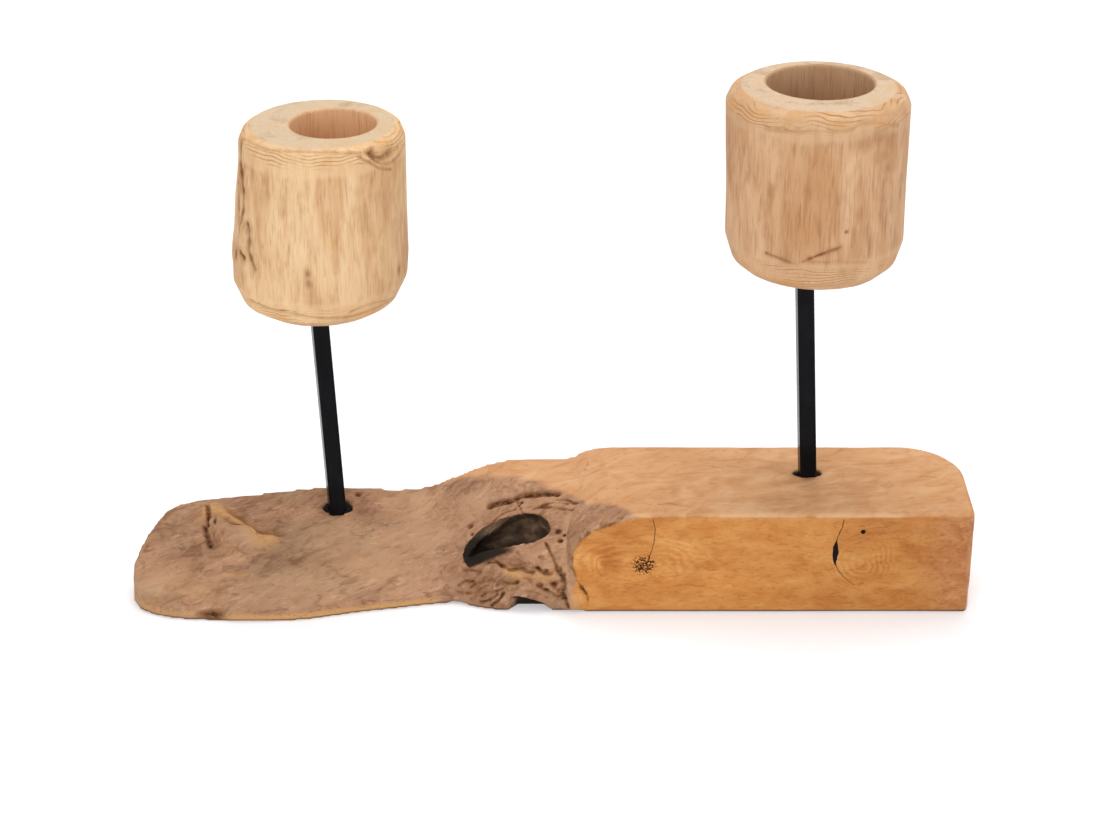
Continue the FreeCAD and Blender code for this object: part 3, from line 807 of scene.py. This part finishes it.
def front_marks(place):
    """The sawn front's pin knot, as small dark dots, and its fine cracks, wormhole and slit."""
    x, y, z = (times(part, 1 / MM) for part in parts(place))
    front = maths("LESS_THAN", y, FRONT_FACE_Y + 5)
    x = maths("ADD", x, scaled(grain(place, 3, (1, 1, 1), 4), 1.6, -0.8))

    def distance(centre, wide=1.0):
        """How far a point is from a centre in mm, its sideways part divided by wide."""
        dx = times(maths("SUBTRACT", x, centre[0]), 1 / wide)
        return length(dx, maths("SUBTRACT", z, centre[1]))

    core = maths("SUBTRACT", 1.0, between(distance(PIN_KNOT, 1.15), 2.2, 7.0))
    dots = between(scaled(core, 0.15, grain(place, 1.0, (1.1, 1, 1), 3)), 0.60, 0.635)
    pins = times(times(dots, between(core, 0.0, 0.3)), front)

    away = maths("ABSOLUTE", maths("SUBTRACT", x, SLIT_CENTRE[0]))
    height = times(maths("SUBTRACT", z, SLIT_CENTRE[1]), 1 / SLIT_HALF_HEIGHT)
    reach = scaled(times(height, height), -SLIT_HALF_WIDTH, SLIT_HALF_WIDTH)
    slit = maths("LESS_THAN", away, reach)
    worm_hole = maths("LESS_THAN", distance(WORM_HOLE), WORM_HOLE_RADIUS)
    black = maths("MAXIMUM", slit, worm_hole)
    for thread in FRONT_THREADS:
        black = maths("MAXIMUM", black, times(front_thread(x, z, *thread), 0.75))
    return pins, times(black, front)


# The cups' growth centres as (x, y), and the marks on their sides and rims as (x, z).
LEFT_PITH = (-101.0, 14.0)
RIGHT_PITH = (127.0, 2.0)

LEFT_CRACKS = (
    ((-141, 221), (-141, 213), (-140, 204), (-140, 194), (-142, 185), (-144, 174), (-145, 166)),
    ((-139, 186), (-138, 180), (-138, 174), (-135, 166)),
    ((-142, 171), (-140, 169)),
    ((-142, 203), (-143, 192), (-144, 182)),
)
LEFT_KNOTS = ((-110, 168), (-110, 164), (-70, 160))
LEFT_NOTCH = ((-80, 222), (-76, 218), (-71, 219))
LEFT_SWIRLS = (
    ((-83, 223), (-79, 219), (-75, 215), (-70, 215), (-66.8, 218)),
    ((-80, 224), (-77, 219), (-73, 217), (-69, 220)),
    ((-86, 222), (-81, 218), (-77, 214), (-72, 211)),
)
LEFT_EDGES = (
    ((-141, 222), (-137, 224), (-127, 224), (-108, 225), (-90, 224), (-79, 222)),
    ((-138, 149), (-125, 148), (-115, 147), (-104, 145), (-92, 144), (-83, 145), (-75, 145)),
    ((-92, 147), (-82, 149), (-73, 145)),
)
LEFT_STREAKS = (
    ((-127, 213), (-129, 199)), ((-110, 163), (-110, 154)), ((-71, 184), (-71, 170)),
    ((-86, 206), (-84, 187)), ((-119, 212), (-120, 196)),
)
LEFT_GOLD = ((-99, 196), (-99, 180))

RIGHT_EDGES = (
    ((95, 241), (115, 243), (130, 243), (136, 245), (144, 244), (154, 240)),
    ((113, 181), (127, 181), (142, 179)),
)
RIGHT_LINE = ((101, 225), (99, 213), (97, 205), (96, 190))
RIGHT_CRACKS = (((97, 182), (103, 181), (111, 179)), ((113, 181), (119, 184), (124, 186), (130, 188)))
RIGHT_DOT = (132, 195)
RIGHT_SMUDGES = ((138, 236), (145, 238), (151, 234), (147, 228), (150, 222))
RIGHT_STREAKS = (((127, 214), (127, 200)), ((146, 226), (148, 208)))
RIGHT_ORANGE = ((118, 232), (115, 214), (113, 196))


def line_stain(cup, lines, width_mm, rough=0.5):
    """The nearest of a set of scribed lines, at each vertex."""
    return np.maximum.reduce([cup.along("front", points, width_mm, rough) for points in lines])


def shape_left_cup(cup):
    """Carve the left cup: cracked knotty side, torn notch and swirls at the rim."""
    x, _, z = (cup.places / MM).T
    side = soft_step(-x, 118, 140) * soft_step(-z, -222, -212) * soft_step(z, 150, 165)
    height = 0.45 * cup.ripple(24, (1, 1, 2.4), 11) + 0.10 * cup.ripple(5, (1, 1, 4), 12)
    height += side * 1.2 * cup.ripple(9, (1, 1, 2.2), 13)
    cracks = line_stain(cup, LEFT_CRACKS, 1.8, 1.0)
    notch = line_stain(cup, (LEFT_NOTCH,), 3.8, 0.3)
    swirls = line_stain(cup, LEFT_SWIRLS, 1.3, 0.3)
    height -= 1.2 * cracks + 3.0 * notch + 0.5 * swirls
    dark = np.maximum(0.95 * cracks, 0.5 * notch ** 3)
    brown = np.maximum.reduce([
        swirls, 0.5 * notch, 0.8 * line_stain(cup, LEFT_CRACKS, 5.5, 0.8),
        0.8 * line_stain(cup, LEFT_EDGES, 1.5, 0.6), 0.42 * line_stain(cup, LEFT_STREAKS, 4.0, 0.8)])
    for place in LEFT_KNOTS:
        brown = np.maximum(brown, 0.7 * cup.spot("front", *place, 3.4, (1, 1, 1.8)))
        dark = np.maximum(dark, 0.3 * cup.spot("front", *place, 2.0, (1, 1, 1.8)))
    finish_cup(cup, height, dark, brown, line_stain(cup, (LEFT_GOLD,), 2.0))


def shape_right_cup(cup):
    """Carve the right cup: a faint leaning line, a fine torn crack near the foot, smudges."""
    height = 0.4 * cup.ripple(26, (1, 1, 2.4), 21) + 0.08 * cup.ripple(5, (1, 1, 4), 22)
    cracks = line_stain(cup, RIGHT_CRACKS, 1.3, 0.9)
    height -= 0.5 * cracks
    dark = np.maximum(0.75 * cracks, 0.7 * cup.spot("front", *RIGHT_DOT, 1.6))
    brown = np.maximum.reduce([
        0.45 * line_stain(cup, (RIGHT_LINE,), 2.2), 0.35 * line_stain(cup, RIGHT_STREAKS, 4.5, 0.8),
        0.4 * line_stain(cup, RIGHT_CRACKS, 3.0, 0.7), 0.6 * line_stain(cup, RIGHT_EDGES, 1.7, 0.7)])
    for place in RIGHT_SMUDGES:
        brown = np.maximum(brown, 0.5 * cup.spot("front", *place, 9.0, (1.2, 1, 0.8)))
    finish_cup(cup, height, dark, brown, 0.8 * line_stain(cup, (RIGHT_ORANGE,), 16.0, 0.3))


def finish_cup(cup, height, dark, brown, warm):
    """Carve and stain one cup, with its bore left round and its pared edges marked."""
    x, y, z = (cup.places / MM).T
    foot_z, top_z = (corner[2] / MM for corner in cup.box)
    flat = soft_step(cup.normals[:, 2], 0.88, 0.97) * (z > top_z - 3)
    name = cup.node.replace("_cup", "_candle_bore")
    bore = [mount for mount in frame["record"]["mounts"] if mount["name"] == name][0]
    away = np.hypot(x - bore["pos_m"][0] / MM, y - bore["pos_m"][1] / MM)
    radius = bore["dims"]["r_mm"]
    upper = z > bore["pos_m"][2] / MM - bore["dims"]["length_mm"] - 2
    in_bore = soft_step(-away, -radius - 1.4, -radius - 0.4) * upper
    edge = 2.0 * cup.ripple(16, (1, 1, 1), 41)
    pared_rim = soft_step(z + edge, top_z - 14, top_z - 11)
    pared_foot = soft_step(edge - z, -foot_z - 18, -foot_z - 15)
    rim_rings = soft_step(z, top_z - 10, top_z - 7.5)
    foot_rings = soft_step(-z, -foot_z - 15, -foot_z - 12.5)
    cup.carve(height * (1 - in_bore) * (1 - 0.8 * flat))
    outside = (1 - in_bore) * (1 - flat)
    cup.stain(
        dark=dark, brown=brown, warm=warm, bore=in_bore, flat=flat * (1 - in_bore),
        pared=np.maximum(pared_rim, pared_foot) * outside,
        rings=np.maximum(rim_rings, foot_rings) * outside)


def side_colour(place, wave, tones, streaks, warm_tone, lines):
    """The peeled side of a branch: broad tones, long fine lines and short mottling."""
    broad = grain(place, 13, (1, 1, 4.0), 4, 0.8)
    colour = ramp(scaled(wave, 0.025, broad), tuple(zip((0.27, 0.43, 0.56, 0.74), tones)))
    colour = tint(mark(place, "warm"), colour, warm_tone)
    colour = mix(0.36, colour, lines, "MULTIPLY")
    mottle = grain(place, 3.2, (1, 1, 5), 5, 0.5)
    mottle = ramp(mottle, ((0.32, streaks), (0.5, WHITE), (0.8, "#fff6ea")))
    return mix(0.3, colour, mottle, "MULTIPLY")


def end_grain_colour(place, wave, streaks, end_tone):
    """The sawn end of a branch: pale, faintly ringed, with fine pores."""
    clouds = scaled(wave, 0.02, grain(place, 11, (1, 1, 1), 4, 0.5))
    ends = ramp(clouds, ((0.3, "#e0d4c6"), (0.5, WHITE), (0.7, "#fff2e0")))
    ends = mix(1.0, linear(end_tone), ends, "MULTIPLY")
    pores = ramp(grain(place, 0.9, (1, 1, 1), 3), ((0.34, streaks), (0.46, WHITE)))
    return mix(0.22, ends, pores, "MULTIPLY")


def rim_ring(place, up, ring_mm):
    """Broken rings that run round the pared rim and foot, one at each ring_mm of height."""
    level = scaled(grain(place, 26, (1, 1, 1), 2), 0.009, up)
    level = scaled(mark(place, "brown"), 0.002, level)
    wave = ring_wave(level, ring_mm)
    broken = between(grain(place, 22, (1, 1, 0.35), 3), 0.38, 0.62)
    return times(between(wave, 0.5, 0.95), times(mark(place, "rings"), broken))


def cup_wood(name, pith, ring_mm, tones, streaks, end_tone, edge_tone, warm_tone, bore_tone):
    """Peeled branch of teak, sawn across and sanded: pale, dry and matt, with fine grain."""
    material, shader, place = new_material(name)
    x, y, z = parts(place)
    away = length(maths("SUBTRACT", x, pith[0] * MM), maths("SUBTRACT", y, pith[1] * MM))
    bent = scaled(grain(place, 30, (1, 1, 1.5), 2), 0.010, away)
    wave = ring_wave(scaled(mark(place, "brown"), 0.0015, bent), ring_mm)
    fine = grain(place, 0.75, (1, 1, 22), 4, 0.3)
    lines = ramp(fine, ((0.30, streaks), (0.48, WHITE), (0.85, WHITE)))

    colour = side_colour(place, wave, tones, streaks, warm_tone, lines)
    ends = end_grain_colour(place, wave, streaks, end_tone)
    colour = mix(times(mark(place, "flat"), 0.9), colour, ends)
    colour = tint(times(mark(place, "pared"), 0.5), colour, edge_tone)
    gilt = between(grain(place, 16, (1, 1, 0.5), 3), 0.45, 0.7)
    gilt = times(mark(place, "rings"), gilt)
    colour = tint(times(gilt, 0.5), colour, "#d79a55")
    ring = rim_ring(place, z, ring_mm)
    colour = tint(times(ring, 0.75), colour, "#a8703a")
    speck = grain(place, 1.4, (1, 1, 2), 4)
    colour = tint(times(mark(place, "brown"), scaled(speck, 0.9, 0.3)), colour, "#a06a3c")
    halo = times(between(mark(place, "dark"), 0.1, 0.7), 0.7)
    colour = tint(halo, colour, "#a0683c")
    colour = tint(times(mark(place, "dark"), times(speck, 2.0)), colour, "#5c2c10")
    inner = mix(0.5, linear(bore_tone), lines, "MULTIPLY")
    colour = mix(times(mark(place, "bore"), 0.8), colour, inner)
    relief = maths("ADD", fine, times(ring, -0.5))
    dress(shader, colour, 0.66, 0.14, bump(relief, 0.22, 0.35))
    return material


def blackened_steel():
    """Square bar, mill finish under thin black lacquer: satin, with faint rolling lines."""
    material, shader, place = new_material("black_lacquered_steel_bar")
    lines = grain(place, 1.6, (1, 1, 14), 4, 0.3)
    cloud = grain(place, 7, (1, 1, 2), 4, 0.5)
    colour = ramp(cloud, ((0.3, "#0a0a0c"), (0.55, "#0f0f12"), (0.8, "#17171b")))
    rough = ramp(cloud, ((0.3, "#8a8a8a"), (0.8, "#6a6a6a")))
    relief = maths("ADD", lines, times(cloud, 0.7))
    dress(shader, colour, rough, 0.07, bump(relief, 0.25, 0.45))
    return material


def black_adhesive():
    """Set black epoxy filler, pressed in and scraped off: lumpy and dull."""
    material, shader, place = new_material("black_epoxy_filler")
    lumps = grain(place, 2.2, (1, 1, 1), 5, 0.8)
    colour = ramp(lumps, ((0.35, "#090808"), (0.6, "#141211"), (0.78, "#2e2721")))
    dress(shader, colour, 0.8, 0.15, bump(lumps, 1.0, 0.8))
    return material


# How much each drilled hole is drawn in along Y, and the grid of each dense copy in mm.
HOLE_SQUEEZE = 0.36
ROOT_VOXEL_MM = 1.25
CUP_VOXEL_MM = 0.7
FILLER_VOXEL_MM = 0.35

# The knot and the stump, where the root's copy is twice as fine, as two corners in mm each.
FINE_BOXES = (
    ((-50, -45, 1), (24, 14, 60)),
    ((-176, -8, 6), (-128, 34, 60)),
)


def bar_mouth(node):
    """Where a bar leaves the wood: the middle of its filler's upper edge."""
    filled = frame["nodes"][node]
    places = [filled.matrix_world @ vertex.co for vertex in filled.data.vertices]
    top = max(p.z for p in places)
    upper = [p for p in places if p.z > top - 0.25 * (top - min(q.z for q in places))]
    return sum(p.x for p in upper) / len(upper), sum(p.y for p in upper) / len(upper), top


def squeeze(places, mouth, reach_mm, depth_mm):
    """Draw a round hole's sides in along Y, so that it fits its bar at front and back."""
    away = np.hypot(places[:, 0] - mouth[0], places[:, 1] - mouth[1]) / MM
    near = 1 - soft_step(away, reach_mm, reach_mm + 6)
    upper = soft_step(places[:, 2], mouth[2] - depth_mm * MM, mouth[2] - 0.6 * depth_mm * MM)
    places[:, 1] -= HOLE_SQUEEZE * (places[:, 1] - mouth[1]) * near * upper


def foot_filler(name, node, seed, material):
    """Black filler in one bar's hole: a plug that fits the squeezed hole, lumpy on top."""
    mouth = bar_mouth(node)
    plug = dense_copy(node, name, FILLER_VOXEL_MM)
    bpy.ops.object.shade_smooth()
    for vertex in plug.data.vertices:
        p = vertex.co
        lump = noise.noise(p * 500 + Vector((seed, 0, 0)))
        p.y = mouth[1] + (p.y - mouth[1]) * (1.0 - HOLE_SQUEEZE)
        top = max(0.0, 1 - (mouth[2] - p.z) / (4 * MM))
        p.z += (0.5 * lump - 0.5) * MM * top
    plug.data.update()
    stand_for(plug, node, material)


steel = blackened_steel()
filler = black_adhesive()
for name in ("left_bar", "right_bar"):
    coat(frame["nodes"][name], steel)
for name in ("left_foot_adhesive", "right_foot_adhesive", "left_cup_adhesive", "right_cup_adhesive"):
    coat(frame["nodes"][name], filler)

root = Wood("root_base", "carved_root", ROOT_VOXEL_MM, smooth_rounds=2, fine_boxes=FINE_BOXES)
for hole in ("left_foot_adhesive", "right_foot_adhesive"):
    squeeze(root.places, bar_mouth(hole), reach_mm=7.5, depth_mm=12.0)
settle_arch(root)
sharpen_hollow(root)
shape_root(root)
stand_for(root.piece, "root_base", root_wood())

left_cup = Wood("left_cup", "carved_left_cup", CUP_VOXEL_MM, smooth_rounds=3)
shape_left_cup(left_cup)
left_wood = cup_wood(
    "pale_teak_branch", LEFT_PITH, ring_mm=1.7,
    tones=("#cd9f72", "#dcb285", "#e8c294", "#f0cfa5"), streaks="#b98a62",
    end_tone="#d6c0a3", edge_tone="#efcb9c", warm_tone="#e6bd86", bore_tone="#ddb48c")
stand_for(left_cup.piece, "left_cup", left_wood)

right_cup = Wood("right_cup", "carved_right_cup", CUP_VOXEL_MM, smooth_rounds=3)
shape_right_cup(right_cup)
right_wood = cup_wood(
    "tan_teak_branch", RIGHT_PITH, ring_mm=1.6,
    tones=("#bf9169", "#cea077", "#d8ae86", "#e2bc94"), streaks="#a87c58",
    end_tone="#d8c0a4", edge_tone="#d9b48c", warm_tone="#c48f60", bore_tone="#b89676")
stand_for(right_cup.piece, "right_cup", right_wood)

foot_filler("left_foot_filler", "left_foot_adhesive", 3.0, filler)
foot_filler("right_foot_filler", "right_foot_adhesive", 8.0, filler)

# The studio: a white floor that keeps the stand's shadow, soft light and the photo's camera.
FLOOR_SIZE = 8.0
FLOOR_Z = -0.0002
FLOOR_SEGMENTS = 24
FLOOR_TONE = (0.82, 0.81, 0.83, 1)
FLOOR_GLOW = 0.30
WORLD_LIGHT = 0.50
MIDDLE = (0.0, 0.0, 0.10)
CAMERA_PLACE = (0.0, -1.10609, 0.63013)
CAMERA_TILT_DEGREES = 64.0
CAMERA_LENS_MM = 85.09


def seen_rays(tree):
    """1 for the rays that camera, gloss and glass see, 0 for those that light the stand."""
    path = tree.nodes.new("ShaderNodeLightPath")
    seen = maths("MAXIMUM", path.outputs["Is Camera Ray"], path.outputs["Is Glossy Ray"])
    return maths("MAXIMUM", seen, path.outputs["Is Transmission Ray"])


def make_floor():
    """A round white table top, far larger than the view, with a glow that lights nothing."""
    bpy.ops.object.select_all(action="DESELECT")
    bpy.ops.mesh.primitive_circle_add(
        vertices=FLOOR_SEGMENTS, radius=FLOOR_SIZE / 2, fill_type="NGON", location=(0, 0, FLOOR_Z))
    floor = bpy.context.active_object
    floor.name = "studio_floor"
    material = bpy.data.materials.new("white_table")
    material.use_nodes = True
    tree = material.node_tree
    tree.nodes.remove(tree.nodes["Principled BSDF"])
    lit = add_node("ShaderNodeBsdfDiffuse", tree=tree, Color=FLOOR_TONE).outputs[0]
    strength = times(seen_rays(tree), FLOOR_GLOW)
    glow = add_node("ShaderNodeEmission", Color=linear(WHITE), Strength=strength).outputs[0]
    both = add_node("ShaderNodeAddShader", i0=lit, i1=glow).outputs[0]
    feed(tree.nodes["Material Output"].inputs["Surface"], both)
    coat(floor, material)


def make_world():
    """An even pale surround that the camera sees as white."""
    world = bpy.data.worlds.new("studio")
    world.use_nodes = True
    tree = world.node_tree
    background = tree.nodes["Background"]
    feed(background.inputs["Strength"], scaled(seen_rays(tree), 1 - WORLD_LIGHT, WORLD_LIGHT))
    feed(background.inputs["Color"], linear(WHITE))
    bpy.context.scene.world = world


def add_lamp(name, place, size, watts):
    """One soft square white lamp, aimed at the stand's middle."""
    light = bpy.data.lights.new(name, "AREA")
    light.size = size
    light.energy = watts
    lamp = bpy.data.objects.new(name, light)
    lamp.location = place
    lamp.rotation_euler = (Vector(MIDDLE) - Vector(place)).to_track_quat("-Z", "Y").to_euler()
    bpy.context.scene.collection.objects.link(lamp)


def add_camera():
    """The photo's own view."""
    camera_data = bpy.data.cameras.new("camera")
    camera_data.lens = CAMERA_LENS_MM
    camera_data.sensor_width = 36.0
    camera = bpy.data.objects.new("camera", camera_data)
    camera.location = CAMERA_PLACE
    camera.rotation_euler = (math.radians(CAMERA_TILT_DEGREES), 0, 0)
    bpy.context.scene.collection.objects.link(camera)
    bpy.context.scene.camera = camera


make_floor()
make_world()
add_lamp("softbox_above", (0.1, 0.5, 1.6), 1.0, 13.0)
add_lamp("softbox_front", (-0.7, -1.7, 0.8), 1.0, 15.0)
add_lamp("softbox_right", (1.5, -0.3, 0.7), 0.7, 5.0)
add_camera()
bpy.context.scene.view_settings.view_transform = "Standard"
